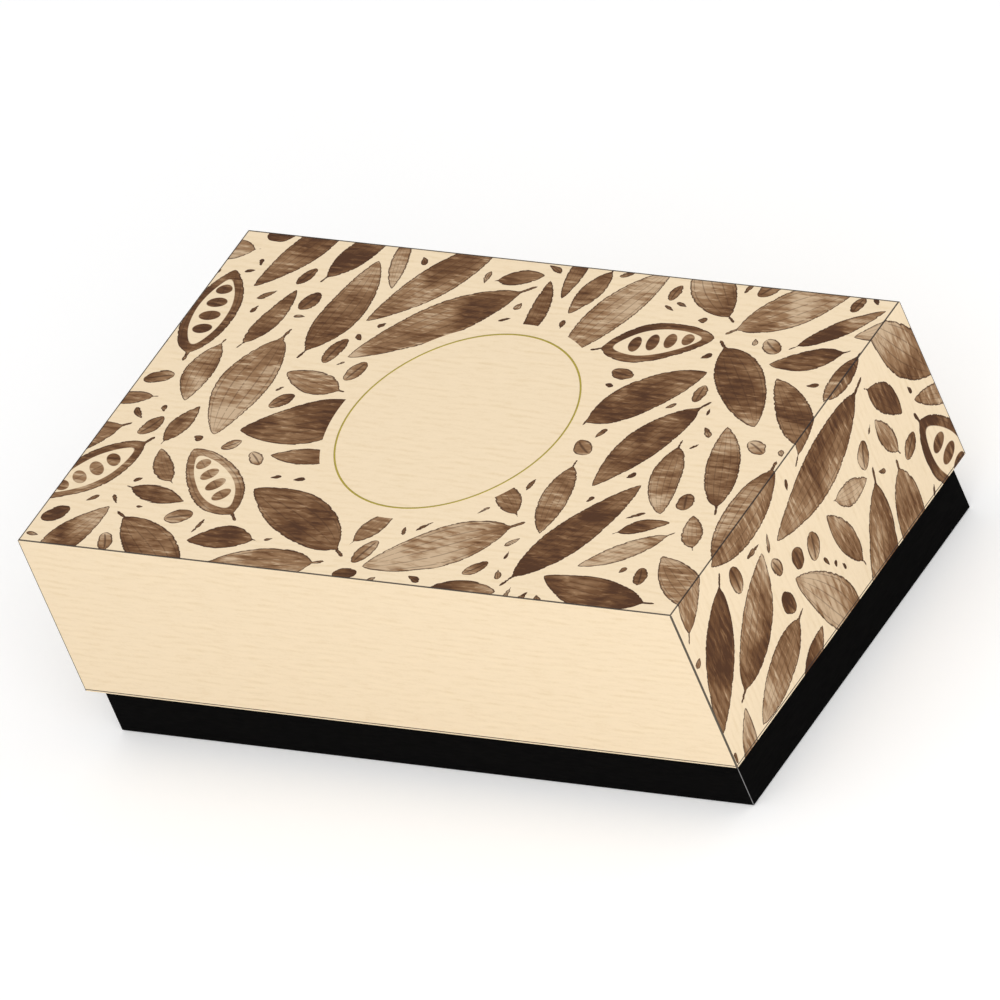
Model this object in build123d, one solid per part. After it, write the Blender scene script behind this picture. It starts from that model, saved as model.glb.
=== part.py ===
"""A rigid chocolate box with a lift-off lid, two layers of bonbons in card grids, pads and a menu card.

Frame: the origin is the centre of the underside, X runs along the long side, Y along the short side
and +Z is up. Lengths are millimetres. The box is modelled closed, as it stands on a table.
"""

import math
import os

from build123d import *

os.makedirs("parts", exist_ok=True)

# Outside of the closed box
lid_length = 204.0
lid_width = 120.0
lid_height = 51.4
base_band = 16.2  # height of base that shows below the lid

# Board and papers of the two shells
board = 2.0
board_edge = 0.35  # crushed radius of the board's outer edges
cover_paper = 0.25
liner_paper = 0.2
bottom_sheet = 0.25
turn_in = 15.0  # covering paper turned in over the rim
turn_under = 12.0  # base paper turned in under the floor
sheet_inset = 2.1
slide_gap = 0.6  # each side, between lid and base
stay_tape = 0.15
stay_leg = 14.0
stay_inset = 3.0

# Foil circle on the lid
foil_radius = 33.0
foil_line = 0.5
foil_depth = 0.05

# Contents
columns = 7
rows = 4
fit_gap = 0.4  # each side, between loose contents and their walls
divider_card = 0.8
slot_gap = 0.1
platform_board = 1.2
lift_tab_width = 36.0
lift_tab_drop = 2.0  # top of a lift tab below the top of the grid
pad_thickness = 4.0
pad_corner = 1.2
menu_card = 0.5
menu_inset = 1.5
menu_corner = 4.0
stack_gap = 0.3  # free height under the closed lid

# Paper cups
cup_gap = 0.4
cup_paper = 0.2
cup_height = 12.0
cup_corner = 3.0
cup_flare = 1.1  # how far each wall leans out at the mouth

# Bonbons, with the free height over each kind
bonbon_gap = 0.25
nut_headroom = 1.8
dome_headroom = 8.5
pyramid_headroom = 8.5
truffle_headroom = 5.0
bonbon_edge = 1.0
ridge_radius = 0.7
fork_pitch = 5.0
fork_ridges = 3
dome_skirt = 2.5
pyramid_skirt = 2.0
pyramid_top = 8.0
truffle_foot = 1.0  # height of the ball that its flat foot takes off
nut_radius = 4.6
nut_sink = 2.2
nut_gap = 0.1
nut_shoulder = 60  # degrees above the middle, where the round nut runs into its point

overrun = 1.0

# Shell sizes that follow from the values above
shell_wall = cover_paper + board
total_height = lid_height + base_band
base_length = lid_length - 2 * (shell_wall + cover_paper + slide_gap)
base_width = lid_width - 2 * (shell_wall + cover_paper + slide_gap)
base_rim_z = total_height - shell_wall - liner_paper
base_height = base_rim_z - bottom_sheet
inner_length = base_length - 2 * (shell_wall + max(cover_paper, liner_paper))
inner_width = base_width - 2 * (shell_wall + max(cover_paper, liner_paper))

# Levels of the stacked contents
floor_z = bottom_sheet + board + liner_paper
loose_height = base_rim_z - floor_z - stack_gap
grid_height = (loose_height - 2 * pad_thickness - platform_board - menu_card) / 2
lower_pad_z = floor_z + grid_height
platform_z = lower_pad_z + pad_thickness
upper_floor_z = platform_z + platform_board
upper_pad_z = upper_floor_z + grid_height
menu_z = upper_pad_z + pad_thickness

# Cells of a grid, and what stands in them
grid_length = inner_length - 2 * (fit_gap + platform_board + fit_gap)
grid_width = inner_width - 2 * fit_gap
cell_length = (grid_length - (columns - 1) * divider_card) / columns
cell_width = (grid_width - (rows - 1) * divider_card) / rows
cup_mouth = min(cell_length, cell_width) - 2 * cup_gap
cup_floor = cup_mouth - 2 * cup_flare
bonbon_side = cup_floor - 2 * (cup_paper + bonbon_gap)
bonbon_corner = cup_corner - cup_paper - bonbon_gap
nut_rise = nut_radius + nut_radius / math.sin(math.radians(nut_shoulder)) - nut_sink
square_height = grid_height - cup_paper - nut_headroom - nut_rise
dome_height = grid_height - cup_paper - dome_headroom
pyramid_height = grid_height - cup_paper - pyramid_headroom
truffle_height = grid_height - cup_paper - truffle_headroom


def slab(length, width, low, high):
    """A block centred on the Z axis between two levels."""
    return Pos(0, 0, low) * Box(length, width, high - low, align=(Align.CENTER, Align.CENTER, Align.MIN))


def folded_slab(length, width, low, high, radius):
    """A block whose upright edges and lower edges are rounded, as paper folds round board."""
    block = slab(length, width, low, high)
    rounded = block.edges().filter_by(Axis.Z) + block.edges().group_by(Axis.Z)[0]
    return fillet(rounded, radius)


def wrapped_shell(length, width, height, covered_floor):
    """Board, corner stays, covering paper and lining of an open shell that stands on its floor at z = 0."""
    wall_length = length - 2 * shell_wall
    wall_width = width - 2 * shell_wall
    throat_length = wall_length - 2 * cover_paper
    throat_width = wall_width - 2 * cover_paper
    floor_top = shell_wall if covered_floor else board

    outside = folded_slab(length, width, 0, height, board_edge + cover_paper)
    core_length = length - 2 * cover_paper
    core_width = width - 2 * cover_paper
    core = folded_slab(core_length, core_width, cover_paper, height - cover_paper, board_edge)
    if not covered_floor:
        core += slab(length - 2 * turn_under, width - 2 * turn_under, 0, cover_paper + board_edge)

    paper = outside - core
    paper -= slab(throat_length, throat_width, height - cover_paper - overrun, height + overrun)
    hem = slab(wall_length, wall_width, height - turn_in, height)
    hem -= slab(throat_length, throat_width, height - turn_in - overrun, height + overrun)
    paper += hem

    tape_edge = max(board_edge - stay_tape, board_edge / 2)
    tape = core - folded_slab(
        core_length - 2 * stay_tape, core_width - 2 * stay_tape, -overrun, height + overrun, tape_edge
    )
    tape_top = height - cover_paper - stay_inset
    stays = []
    for side_x in (-1, 1):
        for side_y in (-1, 1):
            corner = Pos(side_x * core_length / 2, side_y * core_width / 2, 0)
            window = corner * slab(2 * stay_leg, 2 * stay_leg, cover_paper + stay_inset, tape_top)
            stays.append((tape & window).solid())

    shell = core - slab(wall_length, wall_width, floor_top, height + overrun)
    for stay in stays:
        shell -= stay

    lining = slab(wall_length, wall_width, floor_top, height - turn_in)
    lining -= slab(
        wall_length - 2 * liner_paper, wall_width - 2 * liner_paper, floor_top + liner_paper, height + overrun
    )
    return {"board": shell, "corner_stays": Compound(stays), "wrap": paper, "liner": lining}


def cup_body(trim, low, high):
    """A flared rounded square whose walls are drawn in by trim, between two levels."""
    sections = []
    for level in (low, high):
        spread = cup_flare * level / cup_height - trim
        side = cup_floor + 2 * spread
        sections.append(Pos(0, 0, level) * RectangleRounded(side, side, cup_corner + spread))
    return loft([section.face() for section in sections], ruled=True)


def paper_cup():
    return cup_body(0, 0, cup_height) - cup_body(cup_paper, cup_paper, cup_height + overrun)


def square_bonbon():
    body = extrude(RectangleRounded(bonbon_side, bonbon_side, bonbon_corner), square_height)
    return fillet(body.edges().group_by(Axis.Z)[-1], bonbon_edge)


def top_ridge(length):
    """A half-sunk round bar along X on top of a square bonbon."""
    return Pos(0, 0, square_height) * Rot(0, 90, 0) * Cylinder(ridge_radius, length)


def ridged_square():
    """A square with two bars across its corners."""
    ridge = Rot(0, 0, 45) * top_ridge(bonbon_side - 2 * bonbon_corner)
    shift = (bonbon_side / 2 - bonbon_corner) / (2 * math.sqrt(2))
    return square_bonbon() + Pos(-shift, shift, 0) * ridge + Pos(shift, -shift, 0) * ridge


def forked_square():
    """A square with the raised lines that a dipping fork leaves."""
    body = square_bonbon()
    for number in range(fork_ridges):
        y = (number - (fork_ridges - 1) / 2) * fork_pitch
        body += Pos(0, y, 0) * top_ridge(bonbon_side - 2 * bonbon_corner)
    return body


def dome_bonbon():
    radius = bonbon_side / 2
    foot = Line((0, 0), (radius, 0))
    skirt = Line((radius, 0), (radius, dome_skirt))
    crown = Spline((radius, dome_skirt), (0, dome_height), tangents=((0, 1), (-1, 0)))
    axis = Line((0, dome_height), (0, 0))
    return revolve(Plane.XZ * make_face(foot + skirt + crown + axis), Axis.Z)


def pyramid_bonbon():
    side = bonbon_side - 2 * bonbon_edge
    foot = slab(side, side, 0, pyramid_skirt)
    low = Pos(0, 0, pyramid_skirt) * Rectangle(side, side)
    high = Pos(0, 0, pyramid_height) * Rectangle(pyramid_top, pyramid_top)
    return foot + loft([low.face(), high.face()])


def truffle_bonbon():
    radius = (truffle_height + truffle_foot) / 2
    ball = Pos(0, 0, radius - truffle_foot) * Sphere(radius)
    return ball & slab(4 * radius, 4 * radius, 0, truffle_height + overrun)


nut_middle = square_height + nut_radius - nut_sink


def hazelnut():
    """A whole nut, round below and pointed above, sunk a little into its bonbon."""
    shoulder = math.radians(nut_shoulder)
    below = CenterArc((0, 0), nut_radius, -90, 90 + nut_shoulder)
    point = Line(below @ 1, (0, nut_radius / math.sin(shoulder)))
    axis = Line(point @ 1, below @ 0)
    profile = make_face(below + point + axis)
    return Pos(0, 0, nut_middle) * revolve(Plane.XZ * profile, Axis.Z)


def nut_square():
    return square_bonbon() - Pos(0, 0, nut_middle) * Sphere(nut_radius + nut_gap)


def cell_x(column):
    return (column - (columns - 1) / 2) * (cell_length + divider_card)


def cell_y(row):
    return (row - (rows - 1) / 2) * (cell_width + divider_card)


def long_dividers(level):
    """Strips along X between the rows, slotted from above where the cross strips drop in."""
    strips = []
    for row in range(rows - 1):
        y = (cell_y(row) + cell_y(row + 1)) / 2
        strip = slab(grid_length, divider_card, 0, grid_height)
        for column in range(columns - 1):
            x = (cell_x(column) + cell_x(column + 1)) / 2
            slot = slab(
                divider_card + 2 * slot_gap, divider_card + overrun, grid_height / 2, grid_height + overrun
            )
            strip -= Pos(x, 0, 0) * slot
        strips.append((Pos(0, y, level) * strip).solid())
    return Compound(strips)


def cross_dividers(level):
    """Strips along Y between the columns, slotted from below."""
    strips = []
    for column in range(columns - 1):
        x = (cell_x(column) + cell_x(column + 1)) / 2
        strip = slab(divider_card, grid_width, 0, grid_height)
        for row in range(rows - 1):
            y = (cell_y(row) + cell_y(row + 1)) / 2
            slot = slab(divider_card + overrun, divider_card + 2 * slot_gap, -overrun, grid_height / 2)
            strip -= Pos(0, y, 0) * slot
        strips.append((Pos(x, 0, level) * strip).solid())
    return Compound(strips)


def column_of(shape, column, level):
    """One copy of a shape in every cell of a column."""
    return [(Pos(cell_x(column), cell_y(row), level) * shape).solid() for row in range(rows)]


def all_cells_of(shape, level):
    placed = []
    for column in range(columns):
        placed += column_of(shape, column, level)
    return Compound(placed)


def platform():
    """The card under the upper layer, with a tab standing at each end to lift it by."""
    length = inner_length - 2 * fit_gap
    card = slab(length, inner_width - 2 * fit_gap, platform_z, upper_floor_z)
    tab_x = (length - platform_board) / 2
    for side in (-1, 1):
        tab = slab(platform_board, lift_tab_width, platform_z, upper_pad_z - lift_tab_drop)
        card += Pos(side * tab_x, 0, 0) * tab
    return card


def pad(level):
    """A padded paper cushion, rounded at its corners."""
    body = slab(inner_length - 2 * fit_gap, inner_width - 2 * fit_gap, level, level + pad_thickness)
    return fillet(body.edges().filter_by(Axis.Z), pad_corner)


def menu():
    outline = RectangleRounded(inner_length - 2 * menu_inset, inner_width - 2 * menu_inset, menu_corner)
    return Pos(0, 0, menu_z) * extrude(outline, menu_card)


def foil_circle():
    """A thin ring let in flush with the top of the lid."""
    ring = Circle(foil_radius + foil_line / 2) - Circle(foil_radius - foil_line / 2)
    return Pos(0, 0, total_height - foil_depth) * extrude(ring, foil_depth)


nodes = {}

base = wrapped_shell(base_length, base_width, base_height, covered_floor=False)
for piece, shape in base.items():
    nodes["base_" + piece] = Pos(0, 0, bottom_sheet) * shape
sheet_length = base_length - 2 * sheet_inset
sheet_width = base_width - 2 * sheet_inset
nodes["base_bottom_sheet"] = slab(sheet_length, sheet_width, 0, bottom_sheet)

lid = wrapped_shell(lid_length, lid_width, lid_height, covered_floor=True)
for piece, shape in lid.items():
    nodes["lid_" + piece] = Pos(0, 0, total_height) * Rot(180, 0, 0) * shape
nodes["lid_foil_circle"] = foil_circle()
nodes["lid_wrap"] -= nodes["lid_foil_circle"]

cup = paper_cup()
nut = hazelnut()
bonbons = {
    "ridged_squares": ridged_square(),
    "domes": dome_bonbon(),
    "forked_squares": forked_square(),
    "truffles": truffle_bonbon(),
    "plain_squares": square_bonbon(),
    "pyramids": pyramid_bonbon(),
    "nut_squares": nut_square(),
}

# The upper layer has the same kinds in the same order, moved on by half the columns
for layer, level, shift in (("lower", floor_z, 0), ("upper", upper_floor_z, columns // 2)):
    nodes[layer + "_long_dividers"] = long_dividers(level)
    nodes[layer + "_cross_dividers"] = cross_dividers(level)
    nodes[layer + "_cups"] = all_cells_of(cup, level)
    for number, (kind, shape) in enumerate(bonbons.items()):
        column = (number + shift) % columns
        nodes[layer + "_" + kind] = Compound(column_of(shape, column, level + cup_paper))
        if kind == "nut_squares":
            nodes[layer + "_hazelnuts"] = Compound(column_of(nut, column, level + cup_paper))

nodes["lower_pad"] = pad(lower_pad_z)
nodes["platform_card"] = platform()
nodes["upper_pad"] = pad(upper_pad_z)
nodes["menu_card"] = menu()

for name, shape in nodes.items():
    export_step(shape, f"parts/{name}.step")

print("outside", lid_length, lid_width, total_height, "grid height", round(grid_height, 2))
print("cell", round(cell_length, 2), round(cell_width, 2), "bonbon side", round(bonbon_side, 2))
print("square bonbon height", round(square_height, 2), "dome", round(dome_height, 2))
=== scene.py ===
"""Dresses a rigid chocolate box: printed lid, foil circle, black base, card grids, cups and bonbons.

Every size is in metres, in the frame of the loaded model: X along the box, Y across it, Z up.
"""

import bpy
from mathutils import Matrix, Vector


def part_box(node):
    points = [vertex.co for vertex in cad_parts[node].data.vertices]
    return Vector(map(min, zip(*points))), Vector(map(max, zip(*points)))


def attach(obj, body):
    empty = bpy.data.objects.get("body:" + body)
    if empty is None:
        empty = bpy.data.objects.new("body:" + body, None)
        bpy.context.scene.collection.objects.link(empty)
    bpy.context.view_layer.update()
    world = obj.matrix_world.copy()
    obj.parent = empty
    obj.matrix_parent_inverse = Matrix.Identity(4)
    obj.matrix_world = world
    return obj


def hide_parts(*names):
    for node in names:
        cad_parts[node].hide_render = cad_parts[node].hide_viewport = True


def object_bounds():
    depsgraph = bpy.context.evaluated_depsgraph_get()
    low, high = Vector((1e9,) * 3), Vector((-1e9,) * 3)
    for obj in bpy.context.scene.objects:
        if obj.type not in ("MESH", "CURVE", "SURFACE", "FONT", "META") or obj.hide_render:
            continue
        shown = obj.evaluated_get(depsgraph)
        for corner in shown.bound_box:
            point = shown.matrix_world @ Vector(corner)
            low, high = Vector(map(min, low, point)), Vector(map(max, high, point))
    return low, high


bl_info = {
    "name": "Chocolate Box",
    "version": (1, 0, 0),
    "blender": (4, 5, 0),
    "location": "View3D > Sidebar > Chocolate Box",
    "description": "Printed lid paper, foil, black base, dividers, cups, bonbons, cushions and cards",
    "category": "Add Mesh",
}

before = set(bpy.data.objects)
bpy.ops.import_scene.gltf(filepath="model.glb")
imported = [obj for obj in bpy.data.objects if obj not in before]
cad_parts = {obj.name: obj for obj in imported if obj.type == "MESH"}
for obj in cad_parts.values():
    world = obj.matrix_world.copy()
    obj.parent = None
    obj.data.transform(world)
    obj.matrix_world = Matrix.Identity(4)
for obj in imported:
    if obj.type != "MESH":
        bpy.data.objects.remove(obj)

import math
import random
from collections import namedtuple

import bmesh
import bpy
from bpy.props import FloatProperty, FloatVectorProperty, IntProperty, PointerProperty
from mathutils import Matrix, Vector
from mathutils.geometry import delaunay_2d_cdt

MM = 0.001
CAD_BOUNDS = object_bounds()
CORNERS = ((1, 1), (-1, 1), (-1, -1), (1, -1))
LAYERS = (("lower", "base"), ("upper", "platform"))
SAME_PLACE = 1e-7

FLOOR_DROP = 0.02 * MM
FLOOR_GLOW = 0.2
LAMP_SIZE = 0.9
LAMP_PLACE = Vector((0.72, -0.72, 0.7))
FOIL_WIDTH = 0.5 * MM
BASE_HEM = 12 * MM
CUP_PAPER = 0.12 * MM
CUP_FLARE = 1.1 * MM
RIDGE = 0.7 * MM
CORNER = 2.55 * MM
NUT_RADIUS = 4.6 * MM
QUILT = 18 * MM
PRESSED_EDGE = 3.2 * MM


def srgb(red, green, blue):
    """A display colour of 0 to 255 as the linear colour that shaders take."""
    shares = (value / 255 for value in (red, green, blue))
    return tuple(s / 12.92 if s <= 0.04045 else ((s + 0.055) / 1.055) ** 2.4 for s in shares)


def shaded(tone, factor):
    """A colour made darker or lighter."""
    return tuple(min(value * factor, 1) for value in tone)


def colour(name, description, default):
    return FloatVectorProperty(
        name=name, description=description, default=default, subtype="COLOR", min=0, max=1
    )


def length(name, description, default):
    return FloatProperty(
        name=name, description=description, default=default, subtype="DISTANCE", unit="LENGTH", precision=5
    )


def angle(name, description, degrees):
    return FloatProperty(name=name, description=description, default=math.radians(degrees), subtype="ANGLE")


def number(name, description, default):
    return FloatProperty(name=name, description=description, default=default)


class StageSettings(bpy.types.PropertyGroup):
    """The camera, the floor and the light."""

    azimuth: angle("Azimuth", "Camera angle round the box", 45.34)
    elevation: angle("Elevation", "Camera angle above the floor", 35.46)
    roll: angle("Roll", "How far the camera leans", -23.9)
    lens: number("Lens", "Focal length in millimetres", 1400)
    view_width: length("View width", "Width of the picture at the box", 0.2537)
    aim_right: length("Aim right", "Picture's centre, right of the middle of the lid's lower edge", -0.0062)
    aim_up: length("Aim up", "Picture's centre, above the middle of the lid's lower edge", 0.0183)
    floor_colour: colour("Floor", "Colour of the floor", (0.9, 0.9, 0.9))
    sky: number("Sky", "Strength of the even light from all round", 0.82)
    lamp: number("Lamp", "Power of the large soft lamp, in watts", 4.4)


class PaperSettings(bpy.types.PropertyGroup):
    """The lid's ribbed and printed paper."""

    cream: colour("Cream", "Colour of the paper", srgb(246, 224, 190))
    ink_dark: colour("Dark ink", "Deepest tone of the print", srgb(76, 42, 12))
    ink_brown: colour("Brown ink", "Main tone of the print", srgb(109, 72, 39))
    ink_tan: colour("Tan ink", "Thin wash of the print", srgb(153, 117, 82))
    ink_pale: colour("Pale ink", "Driest brush marks of the print", srgb(206, 178, 145))
    keyline: colour("Keyline", "Thin line along the folds", srgb(38, 33, 32))
    fold_radius: length("Fold radius", "Outside radius of the paper at a fold", 0.3 * MM)
    top_line: length("Top line", "Width of the line round the edge of the top", 0.25 * MM)
    side_line: length("Side line", "Width of the line at each side of an upright corner", 0.1 * MM)
    rim_line: length("Rim line", "Width of the line along the lid's lower edge", 0.3 * MM)
    rim_lip: length("Rim lip", "Height of the bare paper below that line", 0.4 * MM)
    rib_pitch: length("Rib pitch", "Distance between the ribs in the paper", 2.1 * MM)
    knock_out: length("Clear circle", "Radius of the unprinted circle round the foil", 37 * MM)
    gap: length("Motif gap", "Least distance between two printed motifs", 1.6 * MM)
    seed: IntProperty(name="Print seed", description="Chooses the layout of the print", default=11)


class FoilSettings(bpy.types.PropertyGroup):
    """The foil circle."""

    gold: colour("Gold", "Colour of the foil", srgb(182, 163, 66))
    rise: length("Rise", "Height of the foil above the paper", 0.03 * MM)


class CupSettings(bpy.types.PropertyGroup):
    """The pleated paper cups."""

    pleats: IntProperty(name="Pleats", description="Pleats in a quarter of the cup", default=9)
    pleat_depth: length("Pleat depth", "How far a pleat is drawn in at the mouth", 0.8 * MM)
    brown: colour("Brown", "Colour of the cup", srgb(72, 46, 34))


class ChocolateSettings(bpy.types.PropertyGroup):
    """The bonbons."""

    dark: colour("Dark", "Dark chocolate", srgb(62, 33, 22))
    milk: colour("Milk", "Milk chocolate", srgb(118, 68, 42))
    white: colour("White", "White chocolate", srgb(240, 222, 184))
    cocoa: colour("Cocoa", "Cocoa powder", srgb(104, 66, 44))
    edge: length("Edge", "Rounding of a bonbon's upper edge", 1.6 * MM)


SETTINGS = {
    "box_stage": StageSettings,
    "box_paper": PaperSettings,
    "box_foil": FoilSettings,
    "box_cups": CupSettings,
    "box_chocolate": ChocolateSettings,
}


class Wire:
    """A node's output: arithmetic with it adds the math nodes."""

    def __init__(self, nodes, socket):
        self.nodes, self.socket = nodes, socket

    def __add__(self, other):
        return self.nodes.math("ADD", self, other)

    def __sub__(self, other):
        return self.nodes.math("SUBTRACT", self, other)

    def __rsub__(self, other):
        return self.nodes.math("SUBTRACT", other, self)

    def __mul__(self, other):
        return self.nodes.math("MULTIPLY", self, other)

    def __truediv__(self, other):
        return self.nodes.math("DIVIDE", self, other)

    def __pow__(self, other):
        return self.nodes.math("POWER", self, other)

    def __abs__(self):
        return self.nodes.math("ABSOLUTE", self)


class Nodes:
    """A node tree in the making, with short calls that add to it."""

    def __init__(self, tree):
        self.tree = tree

    def feed(self, socket, value):
        """Links a wire to a socket, or sets the socket to a value."""
        if isinstance(value, Wire):
            self.tree.links.new(value.socket, socket)
        elif socket.type == "RGBA" and len(value) == 3:
            socket.default_value = (*value, 1)
        else:
            socket.default_value = value

    def node(self, kind, inputs=None, output=0, **settings):
        """Adds a node and returns one of its outputs, by number or name."""
        made = self.tree.nodes.new(kind)
        for key, value in settings.items():
            setattr(made, key, value)
        for key, value in (inputs or {}).items():
            self.feed(made.inputs[key], value)
        return Wire(self, made.outputs[output])

    def math(self, operation, first, second=0.0):
        return self.node("ShaderNodeMath", {0: first, 1: second}, operation=operation)

    def most(self, first, second):
        return self.math("MAXIMUM", first, second)

    def between(self, factor, first, second):
        """A number between two numbers."""
        return self.node("ShaderNodeMix", {0: factor, 2: first, 3: second}, data_type="FLOAT")

    def seen_by(self, *rays):
        """1 for rays of any of the named kinds, and 0 for others."""
        path = self.tree.nodes.new("ShaderNodeLightPath")
        first, *others = (Wire(self, path.outputs[f"Is {ray} Ray"]) for ray in rays)
        for other in others:
            first = self.most(first, other)
        return first


class Finish(Nodes):
    """A material in the making, with its Principled shader."""

    def __init__(self, name, **sockets):
        self.material = bpy.data.materials.new(name)
        self.material.use_nodes = True
        super().__init__(self.material.node_tree)
        self.shader = self.tree.nodes["Principled BSDF"]
        self.done(**sockets)

    def done(self, **sockets):
        """Sets or links the shader's sockets and returns the material."""
        for key, value in sockets.items():
            self.feed(self.shader.inputs[key.replace("_", " ")], value)
        return self.material

    def smooth(self, value, low, high):
        """0 below low and 1 above high, with a soft step between."""
        return self.node(
            "ShaderNodeMapRange", {"Value": value, "From Min": low, "From Max": high},
            interpolation_type="SMOOTHSTEP",
        )

    def less(self, value, low, high):
        """1 below low and 0 above high, with a soft step between."""
        return 1.0 - self.smooth(value, low, high)

    def mix(self, factor, first, second):
        """A colour between two colours."""
        return self.node("ShaderNodeMix", {0: factor, 6: first, 7: second}, 2, data_type="RGBA")

    def place(self, scale=(1, 1, 1), space="Object", move=(0, 0, 0)):
        """Object coordinates, or a named UV map, stretched to make a pattern's own space."""
        if space == "Object":
            source = self.node("ShaderNodeTexCoord", output="Object")
        else:
            source = self.node("ShaderNodeUVMap", uv_map=space)
        return self.node("ShaderNodeMapping", {"Vector": source, "Scale": scale, "Location": move})

    def split(self, vector):
        """A vector's three coordinates."""
        made = self.node("ShaderNodeSeparateXYZ", {0: vector}).socket.node
        return [Wire(self, output) for output in made.outputs]

    def noise(self, scale, detail=2, roughness=0.5, distortion=0.0, space="Object", move=(0, 0, 0)):
        """Noise with one scale, or with a scale for each direction."""
        scale = scale if isinstance(scale, tuple) else (scale,) * 3
        return self.node("ShaderNodeTexNoise", {
            "Vector": self.place(scale, space, move), "Scale": 1.0, "Detail": detail,
            "Roughness": roughness, "Distortion": distortion,
        })

    def ramp(self, value, *stops):
        """A colour ramp with stops of (place, colour)."""
        made = self.node("ShaderNodeValToRGB", {0: value})
        elements = made.socket.node.color_ramp.elements
        while len(elements) < len(stops):
            elements.new(0.5)
        for element, (place, tone) in zip(elements, stops):
            element.position = place
            element.color = (*tone, 1)
        return made

    def value_of(self, name):
        """A number stored on the mesh."""
        return self.node("ShaderNodeAttribute", output="Fac", attribute_name=name)

    def bump(self, height, distance, strength):
        return self.node("ShaderNodeBump", {"Height": height, "Distance": distance, "Strength": strength})


def grained(name, grain, stops, depth, strength, detail=3, rough=0.5, cloud=0.0, **sockets):
    """A finish whose colour and relief follow one fine noise: depth in millimetres, share of slow cloud."""
    finish = Finish(name, **sockets)
    fibre = finish.noise(grain, detail, rough)
    tint = finish.ramp(fibre * (1 - cloud) + finish.noise(60) * cloud if cloud else fibre, *stops)
    return finish.done(Base_Color=tint, Normal=finish.bump(fibre, depth * MM, strength))


def card_stock(name, tone, light, roughness=0.7, grain=(300, 2200, 300)):
    """Card, board or tape, mottled from a base tone towards a lighter one."""
    return grained(
        name, grain, ((0.3, tone), (0.7, light)), depth=0.04, strength=0.5, detail=4, rough=0.6, cloud=0.3,
        Roughness=roughness, Specular_IOR_Level=0.25,
    )


def paint(node, material):
    """Gives a frame node its material."""
    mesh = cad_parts[node].data
    mesh.materials.clear()
    mesh.materials.append(material)


def new_object(name, data):
    made = bpy.data.objects.new(name, data)
    bpy.context.scene.collection.objects.link(made)
    return made


def piece_from(name, bm, material, smooth=False):
    """An object with the bmesh as its mesh."""
    mesh = bpy.data.meshes.new(name)
    bm.to_mesh(mesh)
    bm.free()
    mesh.materials.append(material)
    for face in mesh.polygons:
        face.use_smooth = smooth
    return new_object(name, mesh)


def settle(piece, body, slot, *nodes):
    """Joins a finished piece to the body it moves with and hides the frame nodes it stands for. The slot, its
    finish, is not used.
    """
    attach(piece, body)
    if nodes:
        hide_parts(*nodes)


def rounded_outline(half_x, half_y, radius, steps):
    """Points round a rectangle with rounded corners, anticlockwise, steps + 1 to a corner."""
    points = []
    for turn, (sign_x, sign_y) in enumerate(CORNERS):
        for step in range(steps + 1):
            swing = (turn + step / steps) * math.pi / 2
            points.append((
                sign_x * (half_x - radius) + radius * math.cos(swing),
                sign_y * (half_y - radius) + radius * math.sin(swing),
            ))
    return points


def even_outline(half, radius, quarter_count, draw=lambda step: 0.0):
    """Points evenly round a rounded square, drawn in by a formula of the step within a quarter."""
    straight = 2 * (half - radius)
    quarter = straight + radius * math.pi / 2
    points = []
    for turn in range(4):
        for step in range(quarter_count):
            along, inwards = quarter * step / quarter_count, draw(step)
            if along <= straight:
                x, y = half - inwards, along - straight / 2
            else:
                swing = (along - straight) / radius
                x = straight / 2 + (radius - inwards) * math.cos(swing)
                y = straight / 2 + (radius - inwards) * math.sin(swing)
            for _ in range(turn):
                x, y = -y, x
            points.append((x, y))
    return points


def quarter_turn(steps, first=1):
    """Angles on the way to a right angle, which is the last."""
    return [step / steps * math.pi / 2 for step in range(first, steps + 1)]


def join(bm, low, high, closed=True):
    """Faces between two rows of vertices, all the way round when closed."""
    if closed:
        low, high = low + low[:1], high + high[:1]
    return [bm.faces.new(corners) for corners in zip(low, low[1:], high[1:], high)]


def skin_between(bm, rings, closed=False):
    """Faces from each ring of points to the next, and from the last to the first when closed."""
    made = [[bm.verts.new(point) for point in ring] for ring in rings]
    for low, high in zip(made, made[1:] + made[:1] if closed else made[1:]):
        join(bm, low, high)
    return made


def fan(bm, ring, z):
    """Faces from a ring to a point on the axis."""
    tip = bm.verts.new((0, 0, z))
    for vert, after in zip(ring, ring[1:] + ring[:1]):
        bm.faces.new((vert, after, tip))


def tidy(bm):
    """Merges what lies in the same place and turns all faces outward."""
    bmesh.ops.remove_doubles(bm, verts=bm.verts, dist=SAME_PLACE)
    bmesh.ops.dissolve_degenerate(bm, edges=bm.edges, dist=SAME_PLACE)
    bmesh.ops.recalc_face_normals(bm, faces=bm.faces)
    return bm


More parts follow.
